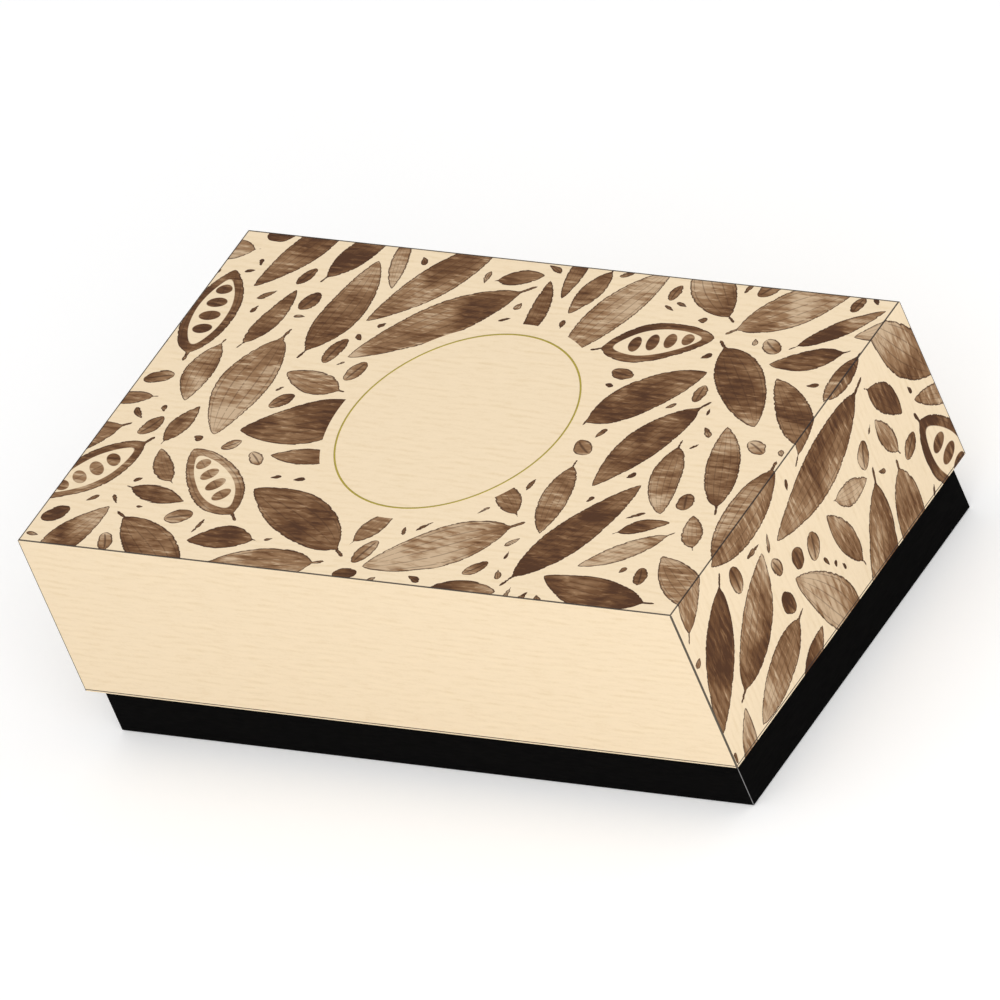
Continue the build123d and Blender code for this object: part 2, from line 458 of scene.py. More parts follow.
class BOX_OT_stage(bpy.types.Operator):
    """Places the camera, the pale floor and the soft light"""

    bl_idname = "box.stage"
    bl_label = "Stage"

    def execute(self, context):
        chosen = context.scene.box_stage
        self.add_camera(chosen)
        self.add_floor(chosen)
        self.add_light(chosen)
        context.scene.view_settings.view_transform = "Standard"
        return {"FINISHED"}

    def add_camera(self, chosen):
        azimuth, elevation = chosen.azimuth, chosen.elevation
        flat = math.cos(elevation)
        back = Vector((math.sin(azimuth) * flat, -math.cos(azimuth) * flat, math.sin(elevation)))
        level = Vector((math.cos(azimuth), math.sin(azimuth), 0))
        right = Matrix.Rotation(chosen.roll, 3, back) @ level
        up = back.cross(right)
        lens = bpy.data.cameras.new("photo_lens")
        lens.lens = chosen.lens
        camera = new_object("photo_camera", lens)
        aim = Vector((0, 0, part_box("lid_wrap")[0].z)) + right * chosen.aim_right + up * chosen.aim_up
        distance = chosen.view_width * lens.lens / lens.sensor_width
        lens.clip_end = 2 * distance
        turn = Matrix((right, up, back)).transposed().to_4x4()
        camera.matrix_world = Matrix.Translation(aim + back * distance) @ turn
        bpy.context.scene.camera = camera

    def add_floor(self, chosen):
        bm = bmesh.new()
        bmesh.ops.create_grid(bm, x_segments=1, y_segments=1, size=20 * CAD_BOUNDS[1].x)
        finish = Finish(
            "pale_floor", Base_Color=tuple(chosen.floor_colour), Roughness=0.9, Specular_IOR_Level=0.1
        )
        seen = finish.seen_by("Camera", "Glossy", "Transmission")
        glow = finish.node("ShaderNodeEmission", {"Color": (1, 1, 1), "Strength": seen * FLOOR_GLOW})
        both = finish.node("ShaderNodeAddShader", {0: Wire(finish, finish.shader.outputs[0]), 1: glow})
        finish.feed(finish.tree.nodes["Material Output"].inputs["Surface"], both)
        floor = piece_from("floor", bm, finish.material)
        floor.location.z = CAD_BOUNDS[0].z - FLOOR_DROP

    def add_light(self, chosen):
        world = bpy.data.worlds.new("even_sky")
        world.use_nodes = True
        sky = Nodes(world.node_tree)
        background = sky.tree.nodes["Background"]
        sky.feed(background.inputs["Color"], (1, 1, 1))
        sky.feed(background.inputs["Strength"], sky.between(sky.seen_by("Camera", "Glossy"), chosen.sky, 1.0))
        bpy.context.scene.world = world

        lamp = bpy.data.lights.new("soft_lamp", "AREA")
        lamp.energy = chosen.lamp
        lamp.size = LAMP_SIZE
        lamp_object = new_object("soft_lamp", lamp)
        lamp_object.location = LAMP_PLACE
        lamp_object.rotation_euler = LAMP_PLACE.to_track_quat("Z", "Y").to_euler()


# Outlines and layout of the print: a stalk as a share of the length, and sizes in millimetres.
MotifShape = namedtuple("MotifShape", "fullness skew stalk longs wides tries bend steps rows")
MOTIF_SHAPES = {
    "split_pod": MotifShape(0.66, 0.86, 0.1, (34, 42), (14, 16.5), 12, 0.03, 44, 4),
    "pod": MotifShape(0.72, 0.86, 0.1, (38, 54), (12.5, 16.5), 900, 0.06, 44, 4),
    "small_pod": MotifShape(0.72, 0.86, 0.1, (20, 32), (7, 10), 4000, 0.07, 32, 3),
    "bean": MotifShape(0.5, 1.0, 0.0, (8, 12), (5, 6.8), 2600, 0.05, 20, 2),
    "nib": MotifShape(0.8, 0.7, 0.0, (2.6, 6), (1.2, 2.4), 3200, 0.05, 8, 1),
}
KIND_NUMBER = {kind: index for index, kind in enumerate(MOTIF_SHAPES)}
MARKS = ("along", "across", "from_edge", "tone", "kind")
FITS = (1, 0.9, 0.8, 0.7)
STEM_WIDTH = 0.075


class Motif:
    """One printed shape: an oval on a bent axis, drawn in towards its two ends, pods with a stalk."""

    def __init__(self, kind, centre, turn, size, tone, bend, phase):
        self.kind, self.centre, self.tone = kind, centre, tone
        self.long, self.wide = size
        self.bend, self.phase = bend, phase
        self.shape = MOTIF_SHAPES[kind]
        self.turn = Matrix.Rotation(turn, 2)
        self.back = Matrix.Rotation(-turn, 2)

    def half_width(self, share):
        """Half of the width at a share of the length, with the small waver of a hand-cut line."""
        if not 0 < share < 1:
            return 0.0
        stalk = self.shape.stalk
        waver = 1 + 0.03 * math.sin(9 * share + self.phase) + 0.004 * math.sin(31 * share + 2 * self.phase)
        along = max((share - stalk) / (1 - stalk), 0)
        body = math.sin(math.pi * along ** self.shape.skew) ** self.shape.fullness if along else 0.0
        stem = STEM_WIDTH * min(share / 0.02, 1) ** 0.5 if stalk and share < 0.5 else 0.0
        return self.wide / 2 * math.hypot(body, stem) * waver

    def axis_lift(self, share):
        return self.bend * self.long * (1 - (2 * share - 1) ** 2)

    def point(self, share, across):
        """A point of the net, at a share of the length and of the half width."""
        return self.centre + self.turn @ Vector((
            (share - 0.5) * self.long, self.axis_lift(share) + across * self.half_width(share)
        ))

    def local(self, point):
        """Share of the length, distance from the bent axis, and half width there."""
        at = self.back @ (Vector(point) - self.centre)
        share = at.x / self.long + 0.5
        return share, at.y - self.axis_lift(share), self.half_width(share)

    def clear_of(self, other, gap):
        """Whether two motifs keep a gap, judged at points along the edges and axis of each."""
        if (self.centre - other.centre).length > (self.long + other.long) / 2 + gap:
            return True
        for one, two in ((self, other), (other, self)):
            for step in range(13):
                for across in (-1, 0, 1):
                    share, off, half = two.local(one.point(step / 12, across))
                    beyond = max(-share, share - 1, 0) * two.long
                    if math.hypot(max(abs(off) - half, 0), beyond) < gap:
                        return False
        return True


def scatter_motifs(chosen, sheet):
    """A tossed layout with no overlaps: the largest motifs first, then what still fits between them."""
    draw = random.Random(chosen.seed)
    gap = chosen.gap / MM
    half_u, half_v = sheet.flat_u + sheet.turn + sheet.side, sheet.flat_v
    corner = Vector((sheet.flat_u + sheet.turn / 2, sheet.flat_v))
    kept_free = [
        Motif("nib", Vector((corner.x * x, corner.y * y)), 0, (3, 3), 0, 0, 0) for x, y in CORNERS
    ]
    placed = []
    for kind, shape in MOTIF_SHAPES.items():
        for _ in range(shape.tries):
            centre = Vector((draw.uniform(-half_u, half_u), draw.uniform(-half_v, half_v)))
            size = (draw.uniform(*shape.longs), draw.uniform(*shape.wides))
            look = (draw.random(), draw.uniform(-shape.bend, shape.bend), draw.uniform(0, 2 * math.pi))
            turn = draw.uniform(0, 2 * math.pi)
            if centre.length < sheet.clear + (0.05 if "pod" in kind else 0.4) * size[0]:
                continue
            for fit in FITS:
                made = Motif(kind, centre, turn, (size[0] * fit, size[1] * fit), *look)
                if all(made.clear_of(other, gap) for other in kept_free + placed):
                    placed.append(made)
                    break
    return placed


def crossing(first, last, level):
    """Where a straight line reaches a value of its second coordinate, with that value exact."""
    point = first.lerp(last, (level - first.y) / (last.y - first.y))
    return Vector((point.x, level))


def cut_outline(points, limit):
    """The part of a closed outline whose second coordinate is within the limit."""
    for sign in (1, -1):
        kept = []
        for before, point in zip(points[-1:] + points[:-1], points):
            inside, was_inside = sign * point.y <= limit, sign * before.y <= limit
            if inside != was_inside:
                kept.append(crossing(before, point, sign * limit))
            if inside:
                kept.append(point)
        points = kept
    return points


def cut_line(first, last, limit):
    """The part of a straight line whose second coordinate is within the limit, or nothing."""
    for sign in (1, -1):
        ends = [sign * first.y <= limit, sign * last.y <= limit]
        if not any(ends):
            return None
        if not all(ends):
            edge = crossing(first, last, sign * limit)
            first, last = (first, edge) if ends[0] else (edge, last)
    return first, last


class LidSheet:
    """The lid's paper as a flat net in millimetres, and how it folds over the board."""

    steps = 6
    line_steps = 3
    circle_steps = 120
    paper = 0.25
    near = 1e-3

    def __init__(self, chosen):
        low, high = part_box("lid_wrap")
        self.radius = chosen.fold_radius / MM
        self.top, self.rim = high.z / MM, low.z / MM
        self.flat_u, self.flat_v = high.x / MM - self.radius, high.y / MM - self.radius
        self.turn = self.radius * math.pi / 2
        self.side = self.top - self.radius - self.rim
        self.line, self.lip = chosen.rim_line / MM, chosen.rim_lip / MM
        self.top_line, self.side_line = chosen.top_line / MM, chosen.side_line / MM
        self.clear = chosen.knock_out / MM

    def folded(self, u, v):
        """Where a point of the flat net lies on the lid."""
        if abs(u) > self.flat_u + self.near:
            x, drop = self.over_edge(abs(u), self.flat_u)
            y = abs(v)
            if y > self.flat_v:
                swing = (y - self.flat_v) / self.radius
                x = self.flat_u + self.radius * math.cos(swing)
                y = self.flat_v + self.radius * math.sin(swing)
            return Vector((math.copysign(x, u), math.copysign(y, v), self.top - drop))
        y, drop = self.over_edge(abs(v), self.flat_v)
        return Vector((u, math.copysign(y, v), self.top - drop))

    def over_edge(self, along, flat):
        """How far out and how far down a distance along the net ends, past a fold."""
        if along <= flat:
            return along, 0.0
        if along <= flat + self.turn:
            swing = (along - flat) / self.radius
            return flat + self.radius * math.sin(swing), self.radius * (1 - math.cos(swing))
        return flat + self.radius, self.radius + along - flat - self.turn

    def framed(self, half, line):
        """A width in three stretches, from one line at its edge to the other: (low, high, on a line)."""
        levels = (-half, line - half, half - line, half)
        return zip(levels, levels[1:], (True, False, True))

    def bands(self):
        """The side from its fold down: face, line round the rim, bare lip: (low, high, on a line)."""
        foot = self.turn + self.side
        levels = (self.turn, foot - self.line - self.lip, foot - self.lip, foot)
        return zip(levels, levels[1:], (False, True, False))

    def panels(self):
        """Rectangles of the net as (low u, low v, high u, high v, on a line)."""
        a, b, turn = self.flat_u, self.flat_v, self.turn
        made = []
        for low_u, high_u, edge_u in self.framed(a, self.top_line):
            for low_v, high_v, edge_v in self.framed(b, self.top_line):
                made.append((low_u, low_v, high_u, high_v, edge_u or edge_v))
        for sign in (-1, 1):
            def short_side(low, high, start, end, on_line):
                first, last = sorted((sign * (a + low), sign * (a + high)))
                made.append((first, start, last, end, on_line))

            def long_side(low, high, start, end, on_line):
                first, last = sorted((sign * (b + low), sign * (b + high)))
                made.append((start, first, end, last, on_line))

            for step in range(self.steps):
                start, end = turn * step / self.steps, turn * (step + 1) / self.steps
                short_side(start, end, -b, b, step < self.line_steps)
                long_side(start, end, -a, a, step < self.line_steps)
                for low, high, _ in self.bands():
                    short_side(low, high, b + start, b + end, True)
                    short_side(low, high, -b - end, -b - start, True)
            for low, high, on_line in self.bands():
                for low_v, high_v, edge in self.framed(b, self.side_line):
                    short_side(low, high, low_v, high_v, edge or on_line)
                for low_u, high_u, edge in self.framed(a, self.side_line):
                    long_side(low, high, low_u, high_u, edge or on_line)
        return made

    def corner_caps(self, bm, keyline):
        """The four rounded corners between the folds, where their lines join up."""
        quarter = quarter_turn(self.steps, first=0)
        for sign_x, sign_y in ((-1, -1), (-1, 1), (1, -1), (1, 1)):
            rings = []
            for rise in quarter:
                reach, level = self.radius * math.cos(rise), self.radius * math.sin(rise)
                rings.append([
                    bm.verts.new((
                        sign_x * (self.flat_u + reach * math.cos(swing)),
                        sign_y * (self.flat_v + reach * math.sin(swing)),
                        self.top - self.radius + level,
                    ))
                    for swing in quarter
                ])
            for low, high in zip(rings, rings[1:]):
                for face in join(bm, low, high, closed=False):
                    face[keyline] = 1.0

    def close_inside(self, bm):
        """Rim, turned-in hem and the paper's inner face, from the open lower edge of the outside."""
        liner_low, liner_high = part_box("lid_liner")
        paper, near = self.paper, self.near
        flat = (self.flat_u, self.flat_v)
        outer = [half + self.radius for half in flat]
        board = outer[0] - paper - liner_high.x / MM
        edge = {vert for side in bm.edges if side.is_boundary for vert in side.verts}
        whole = sorted(edge, key=lambda vert: math.atan2(vert.co.y, vert.co.x))

        def ring_at(inset, z):
            return [
                bm.verts.new((x * (outer[0] - inset), y * (outer[1] - inset), z)) for x, y in CORNERS
            ]

        inside = paper + board
        throat = ring_at(inside + paper, self.rim)
        for index, (corner, sign) in enumerate(zip(throat, CORNERS)):
            bm.faces.new([corner] + [
                vert for vert in whole if all(vert.co[i] * sign[i] > flat[i] - near for i in (0, 1))
            ])
            along, across = index % 2, 1 - index % 2
            side = [
                vert for vert in whole
                if abs(vert.co[across] - sign[across] * outer[across]) < near
                and abs(vert.co[along]) < flat[along] + near
            ]
            side.sort(key=lambda vert: vert.co[along] * sign[along], reverse=True)
            bm.faces.new([corner] + side + [throat[(index + 1) % 4]])
        hem = liner_low.z / MM
        below = throat
        for inset, z in (
            (inside + paper, hem), (inside, hem), (inside, self.rim + paper), (paper, self.rim + paper),
            (paper, self.top - paper),
        ):
            ring = ring_at(inset, z)
            join(bm, below, ring)
            below = ring
        bm.faces.new(below)


def net_drawing(sheet, motifs):
    """Points, lines and outlines of the net with its print: panels, motifs and the unprinted circle."""
    points, lines, outlines = [], [], []
    limit = sheet.flat_v

    def add(point):
        points.append(Vector((point[0], point[1])))
        return len(points) - 1

    for low_u, low_v, high_u, high_v, _ in sheet.panels():
        corners = ((low_u, low_v), (high_u, low_v), (high_u, high_v), (low_u, high_v))
        outlines.append([add(corner) for corner in corners])
    for motif in motifs:
        count, sides = motif.shape.steps, motif.shape.rows
        shares = [
            (step / count * 2 + 1 - math.cos(math.pi * step / count)) / 4 for step in range(count + 1)
        ]
        rows = []
        for row in range(-sides, sides + 1):
            across = math.copysign(1 - (1 - abs(row) / sides) ** 1.3, row) if row else 0.0
            rows.append([motif.point(share, across) for share in shares])
        for row in rows[1:-1]:
            pieces = (cut_line(first, last, limit) for first, last in zip(row, row[1:]))
            lines += [(add(piece[0]), add(piece[1])) for piece in pieces if piece]
        outlines.append([add(point) for point in cut_outline(rows[0] + rows[-1][-2:0:-1], limit)])
    swings = (2 * math.pi * step / sheet.circle_steps for step in range(sheet.circle_steps))
    outlines.append([
        add((sheet.clear * math.cos(swing), sheet.clear * math.sin(swing))) for swing in swings
    ])
    return points, lines, outlines


def printed_lid(sheet, motifs, material):
    """The folded sheet with its print cut into the mesh as faces of their own."""
    points, lines, outlines = net_drawing(sheet, motifs)
    cut = delaunay_2d_cdt(points, lines, outlines, 1, 1e-4)
    flat, faces, owners = cut[0], cut[2], cut[5]
    panels = sheet.panels()
    circle = len(outlines) - 1

    bm = bmesh.new()
    sheet_uv = bm.loops.layers.uv.new("sheet")
    inked = bm.faces.layers.float.new("inked")
    keyline = bm.faces.layers.float.new("keyline")
    layers = [bm.verts.layers.float.new(name) for name in MARKS]
    verts = [bm.verts.new(sheet.folded(*point)) for point in flat]
    for corners, owned in zip(faces, owners):
        on_line = next((panels[index][4] for index in owned if index < len(panels)), None)
        if on_line is None:
            continue
        face = bm.faces.new([verts[index] for index in corners])
        for loop, index in zip(face.loops, corners):
            loop[sheet_uv].uv = flat[index] * MM
        face[keyline] = float(on_line)
        found = [index - len(panels) for index in owned if len(panels) <= index < circle]
        if not found or circle in owned:
            continue
        motif = motifs[found[0]]
        face[inked] = 1.0
        for index in corners:
            share, off, half = motif.local(flat[index])
            across = max(-1, min(1, off / half)) if half > 0 else math.copysign(1, off)
            values = (share, across, max(half - abs(off), 0), motif.tone, KIND_NUMBER[motif.kind])
            for layer, value in zip(layers, values):
                verts[index][layer] = value
    loose = [vert for vert in bm.verts if not vert.link_faces]
    bmesh.ops.delete(bm, geom=loose, context="VERTS")
    sheet.corner_caps(bm, keyline)
    bmesh.ops.remove_doubles(bm, verts=bm.verts, dist=2 * sheet.near)
    sheet.close_inside(bm)
    bmesh.ops.recalc_face_normals(bm, faces=bm.faces)
    bmesh.ops.scale(bm, vec=(MM, MM, MM), verts=bm.verts)
    return piece_from("printed_lid_paper", bm, material)


def printed_paper(chosen):
    """Cream laid paper with brown print: washes, dry streaks along the ribs and a darker outline."""
    finish = Finish("printed_paper", Roughness=0.62, Specular_IOR_Level=0.2)
    smooth, less = finish.smooth, finish.less

    def grain(scale_u, scale_v, move_u=0, move_v=0, detail=2, roughness=0.5, distortion=0.0):
        scale, move = (scale_u, scale_v, 1), (move_u, move_v, 0)
        return finish.noise(scale, detail, roughness, distortion, "sheet", move)

    def oval(first, second, power):
        """Below 1 inside an oval and above 1 outside it."""
        return abs(first) ** power + abs(second) ** power

    ribs = finish.split(finish.place(space="sheet"))[1] / (chosen.rib_pitch / (2 * math.pi))
    rib = finish.math("SINE", ribs + grain(55, 20) * 9)
    patch = smooth(grain(80, 260, 2, 3), 0.42, 0.62)
    relief = rib * patch * 0.12 + (grain(150, 900, detail=4, roughness=0.66) - 0.5) * 0.8
    relief = relief + (grain(1100, 1500, 4, 6, roughness=0.6) - 0.5) * 0.3

    cream, dark = tuple(chosen.cream), tuple(chosen.ink_dark)
    shade = tuple(value * factor for value, factor in zip(cream, (0.93, 0.905, 0.85)))
    paper = finish.ramp(relief + 0.5, (0.25, shade), (0.5, cream), (0.75, shaded(cream, 1.03)))

    along, side, edge, tone, kind = (finish.value_of(name) for name in MARKS)
    wash = grain(62, 90, 1, 2, 3, 0.5, 0.5) - 0.5
    dry = smooth(grain(210, 1250, 3, 5, 3, 0.6), 0.52, 0.7)
    wet = smooth(grain(170, 900, 7, 1), 0.5, 0.68)
    depth = tone * 0.62 + wash * 1.8 + (along - 0.5) * 0.36 + dry * 0.3 - wet * 0.2
    ink = finish.ramp(
        depth + relief * 0.4 + rib * 0.055 + 0.17, (0.0, dark), (0.3, tuple(chosen.ink_brown)),
        (0.65, tuple(chosen.ink_tan)), (1.0, tuple(chosen.ink_pale)),
    )

    groove = less(abs(finish.math("SINE", side * (2.5 * math.pi))), 0.08, 0.3)
    pod_line = groove * less(dry, 0.3, 0.7) * less(kind, 2.4, 2.6)
    bean_line = less(abs(side), 0.06, 0.2) * smooth(kind, 2.4, 2.6) * less(abs(along - 0.5), 0.36, 0.46)
    rough_edge = edge + (grain(130, 1000, 9, 2, 3, 0.65) - 0.5) * 1.5
    drawn = finish.most((pod_line * 0.5 + bean_line * 0.8) * 0.9, less(rough_edge, 0.26, 0.6) * 0.9)
    ink = finish.mix(drawn, ink, shaded(dark, 0.75))

    hollow = less(oval(side * (1 / 0.66), (along - 0.54) * (1 / 0.36), 2.4), 0.9, 1.0) * less(kind, 0.4, 0.6)
    cell = finish.math("FRACT", along * 7.0) - 0.5
    seed = less(oval(cell * (1 / 0.37), side * (1 / 0.42), 2.0), 0.85, 1.05)
    whole_seeds = smooth(along, 0.28, 0.29) * less(along, 0.85, 0.86)
    printed = finish.mix(hollow - hollow * whole_seeds * seed, ink, paper)
    tint = finish.mix(finish.value_of("inked") * smooth(rough_edge, 0.0, 0.1), paper, printed)
    tint = finish.mix(finish.value_of("keyline") * 0.9, tint, tuple(chosen.keyline))
    return finish.done(Base_Color=tint, Normal=finish.bump(relief, 0.07 * MM, 0.8))


class BOX_OT_lid_paper(bpy.types.Operator):
    """Prints, folds and hems the lid's paper"""

    bl_idname = "box.lid_paper"
    bl_label = "Lid paper"

    def execute(self, context):
        chosen = context.scene.box_paper
        sheet = LidSheet(chosen)
        piece = printed_lid(sheet, scatter_motifs(chosen, sheet), printed_paper(chosen))
        settle(piece, "lid", "printed_paper", "lid_wrap")
        return {"FINISHED"}


class Blocks(Nodes):
    """A Geometry Nodes tree in the making, with named inputs that a modifier sets."""

    def __init__(self, name):
        super().__init__(bpy.data.node_groups.new(name, "GeometryNodeTree"))
        self.tree.interface.new_socket("Geometry", in_out="OUTPUT", socket_type="NodeSocketGeometry")
        self.inputs = {}
        self.entry = self.tree.nodes.new("NodeGroupInput")

    def input(self, name, kind, value):
        socket = self.tree.interface.new_socket(name, in_out="INPUT", socket_type="NodeSocket" + kind)
        self.inputs[socket.identifier] = value
        return Wire(self, next(s for s in self.entry.outputs if s.identifier == socket.identifier))

    def bake(self, name, geometry, material):
        """Runs the tree on an empty object and keeps the result as a plain mesh."""
        real = self.node("GeometryNodeRealizeInstances", {"Geometry": geometry})
        covered = self.node("GeometryNodeSetMaterial", {
            "Geometry": real, "Material": self.input("Material", "Material", material),
        })
        self.feed(self.tree.nodes.new("NodeGroupOutput").inputs[0], covered)
        piece = new_object(name, bpy.data.meshes.new(name))
        modifier = piece.modifiers.new("made", "NODES")
        modifier.node_group = self.tree
        for identifier, value in self.inputs.items():
            modifier[identifier] = value
        graph = bpy.context.evaluated_depsgraph_get()
        made = bpy.data.meshes.new_from_object(piece.evaluated_get(graph), depsgraph=graph)
        piece.modifiers.clear()
        piece.data = made
        made.name = name
        return piece


class Cells:
    """Where the cells of a layer stand, read from the frame."""

    columns, rows = 7, 4

    def __init__(self, layer):
        low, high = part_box(layer + "_plain_squares")
        cups_low, cups_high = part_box(layer + "_cups")
        self.side = high.x - low.x
        self.pitch_y = (high.y - low.y - self.side) / (self.rows - 1)
        self.mouth = cups_high.y - cups_low.y - (self.rows - 1) * self.pitch_y
        self.pitch_x = (cups_high.x - cups_low.x - self.mouth) / (self.columns - 1)
        self.floor = cups_low.z
        self.cup_height = cups_high.z - cups_low.z


def in_cells(name, shape, cells, columns, centre):
    """A piece with one copy of a shape in each cell of a block. The shape itself is used up."""
    tree = Blocks(name)
    middle = tree.input("Middle", "Vector", centre)
    source = tree.input("Shape", "Object", shape)

    def line(kind, axis, count, pitch):
        count = tree.input(kind + "s", "Int", count)
        step = tree.input(kind + " pitch", "Float", pitch)
        return tree.node("GeometryNodeMeshLine", {
            "Count": count,
            "Start Location": tree.node("ShaderNodeCombineXYZ", {axis: (count - 1.0) * -0.5 * step}),
            "Offset": tree.node("ShaderNodeCombineXYZ", {axis: step}),
        })

    rows = tree.node("GeometryNodeInstanceOnPoints", {
        "Points": line("Column", "X", columns, cells.pitch_x),
        "Instance": line("Row", "Y", cells.rows, cells.pitch_y),
    })
    points = tree.node("GeometryNodeRealizeInstances", {"Geometry": rows})
    moved = tree.node("GeometryNodeSetPosition", {"Geometry": points, "Offset": middle})
    body = tree.node("GeometryNodeObjectInfo", {"Object": source}, "Geometry")
    copies = tree.node("GeometryNodeInstanceOnPoints", {"Points": moved, "Instance": body})
    piece = tree.bake(name, copies, shape.data.materials[0])
    bpy.data.objects.remove(shape)
    return piece


class BOX_OT_foil(bpy.types.Operator):
    """Lays the foil circle on the lid"""

    bl_idname = "box.foil"
    bl_label = "Foil circle"

    def execute(self, context):
        chosen = context.scene.box_foil
        low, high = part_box("lid_foil_circle")
        tree = Blocks("foil_circle")
        radius = tree.input("Radius", "Float", high.x - FOIL_WIDTH / 2)
        width = tree.input("Line width", "Float", FOIL_WIDTH)
        thickness = tree.input("Thickness", "Float", high.z - low.z + chosen.rise)
        middle = tree.input("Middle", "Vector", (0, 0, (low.z + high.z + chosen.rise) / 2))
        path = tree.node("GeometryNodeCurvePrimitiveCircle", {"Resolution": 220, "Radius": radius})
        section = tree.node("GeometryNodeCurvePrimitiveQuadrilateral", {"Width": width, "Height": thickness})
        swept = tree.node("GeometryNodeCurveToMesh", {"Curve": path, "Profile Curve": section})
        placed = tree.node("GeometryNodeTransform", {"Geometry": swept, "Translation": middle})
        gold = tuple(chosen.gold)
        stops = ((0.3, shaded(gold, 0.85)), (0.7, gold))
        material = grained(
            "gold_foil", 900, stops, depth=0.01, strength=0.4, Metallic=1.0, Roughness=0.34
        )
        piece = tree.bake("foil_circle", placed, material)
        settle(piece, "lid", "gold_foil", "lid_foil_circle")
        return {"FINISHED"}


def black_paper():
    """Matt black paper with a broken pale line down each upright corner: partly scuffed wear, partly a
    painted highlight of the edge.
    """
    finish = Finish("black_paper", Roughness=0.8, Specular_IOR_Level=0.02)
    x, y, _ = finish.split(finish.place())
    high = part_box("base_wrap")[1]
    near_x, near_y = (
        finish.less(reach - abs(way), 0.07 * MM, 0.2 * MM) for way, reach in ((x, high.x), (y, high.y))
    )
    # Pale line down each upright corner: scuffed wear together with a painted highlight of the edge.
    wear_and_highlight = near_x * near_y * finish.smooth(finish.noise((900, 900, 260), 3), 0.22, 0.5)
    fibre = finish.noise((260, 260, 1500), 3, 0.6)
    tint = finish.ramp(fibre, (0.3, (0.0016, 0.0015, 0.0015)), (0.8, (0.0045, 0.0042, 0.004)))
    tint = finish.mix(wear_and_highlight, tint, (0.42, 0.42, 0.42))
    return finish.done(Base_Color=tint, Normal=finish.bump(fibre, 0.05 * MM, 0.5))


def base_paper(fold, material, steps=4):
    """The base's covering paper, from under the floor, up the walls, over the rim and down inside."""
    low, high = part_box("base_wrap")
    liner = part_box("base_liner")[1]
    paper = high.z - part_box("base_board")[1].z
    wall = high.x - liner.x

    def ring(inset, z, corner=0.0):
        return [(x, y, z) for x, y in rounded_outline(high.x - inset, high.y - inset, corner, steps)]

    rings = [ring(BASE_HEM, low.z), ring(fold, low.z)]
    for swing in quarter_turn(steps):
        draw = fold * (1 - math.sin(swing))
        rings.append(ring(draw, low.z + fold * (1 - math.cos(swing)), fold - draw))
    rings += [
        ring(0, high.z, fold), ring(wall + paper, high.z), ring(wall + paper, liner.z), ring(wall, liner.z),
        ring(wall, high.z - paper), ring(paper, high.z - paper), ring(paper, low.z + paper),
        ring(BASE_HEM, low.z + paper),
    ]
    bm = bmesh.new()
    skin_between(bm, rings, closed=True)
    return piece_from("black_base_paper", tidy(bm), material)


class BOX_OT_base(bpy.types.Operator):
    """Wraps the base in black paper and finishes the boards, tapes and linings"""

    bl_idname = "box.base"
    bl_label = "Base and boards"

    def execute(self, context):
        black = black_paper()
        piece = base_paper(context.scene.box_paper.fold_radius, black)
        settle(piece, "base", "black_paper", "base_wrap")
        grey = card_stock("greyboard", srgb(128, 119, 104), srgb(172, 164, 148), 0.85, 700)
        kraft = card_stock("kraft_tape", srgb(166, 132, 92), srgb(192, 160, 118))
        cream = card_stock("cream_lining", srgb(236, 214, 178), srgb(246, 228, 198), 0.6)
        for node, material in (
            ("base_board", grey), ("lid_board", grey), ("base_corner_stays", kraft),
            ("lid_corner_stays", kraft), ("base_liner", black), ("base_bottom_sheet", black),
            ("lid_liner", cream),
        ):
            paint(node, material)
        return {"FINISHED"}


def pleated_cup(cells, chosen, material):
    """One cup: a pleated wall of two faces on a flat floor, standing at the origin."""
    steps_a_pleat = 4
    mouth, height = cells.mouth / 2, cells.cup_height
    shares = (0, 0.08, 0.35, 0.7, 1)

    def wave(step):
        return math.cos(2 * math.pi * step / steps_a_pleat)

    def ring(share, inset):
        quarter = steps_a_pleat * chosen.pleats
        outline = even_outline(
            mouth - CUP_FLARE * (1 - share) - inset, 3 * MM + CUP_FLARE * share, quarter,
            lambda step: chosen.pleat_depth * (0.5 - 0.5 * wave(step)) * share ** 0.6,
        )
        return [
            (x, y, max(height * share * 0.985 + 0.16 * MM * wave(index % quarter) * share ** 4, inset))
            for index, (x, y) in enumerate(outline)
        ]

    rings = [ring(share, 0) for share in shares] + [ring(share, CUP_PAPER) for share in reversed(shares)]
    bm = bmesh.new()
    made = skin_between(bm, rings)
    bm.faces.new(reversed(made[0]))
    bm.faces.new(made[-1])
    bmesh.ops.recalc_face_normals(bm, faces=bm.faces)
    return piece_from("one_cup", bm, material, smooth=True)


class BOX_OT_cups(bpy.types.Operator):
    """Stands a pleated cup in every cell"""

    bl_idname = "box.cups"
    bl_label = "Paper cups"

    def execute(self, context):
        chosen = context.scene.box_cups
        brown = tuple(chosen.brown)
        material = card_stock("cup_glassine", brown, shaded(brown, 1.35), 0.38, (900, 900, 200))
        for layer, body in LAYERS:
            cells = Cells(layer)
            cup = pleated_cup(cells, chosen, material)
            cups = in_cells(layer + "_pleated_cups", cup, cells, cells.columns, (0, 0, cells.floor))
            settle(cups, body, "cup_paper", layer + "_cups")
        return {"FINISHED"}


def chocolate(name, tone, roughness, bloom=0.12):
    """Tempered chocolate: satin gloss, slight cloudiness and faint mould marks."""
    finish = Finish(name, Coat_Weight=0.06, Coat_Roughness=0.2, Specular_IOR_Level=0.24)
    cloud = finish.noise(260, 4, 0.6)
    stops = ((0.25, shaded(tone, 0.85)), (0.55, tone), (0.9, shaded(tone, 1 + 5 * bloom)))
    return finish.done(
        Base_Color=finish.ramp(cloud, *stops), Roughness=cloud * 0.25 + (roughness - 0.1),
        Normal=finish.bump(finish.noise(1400), 0.03 * MM, 0.25),
    )


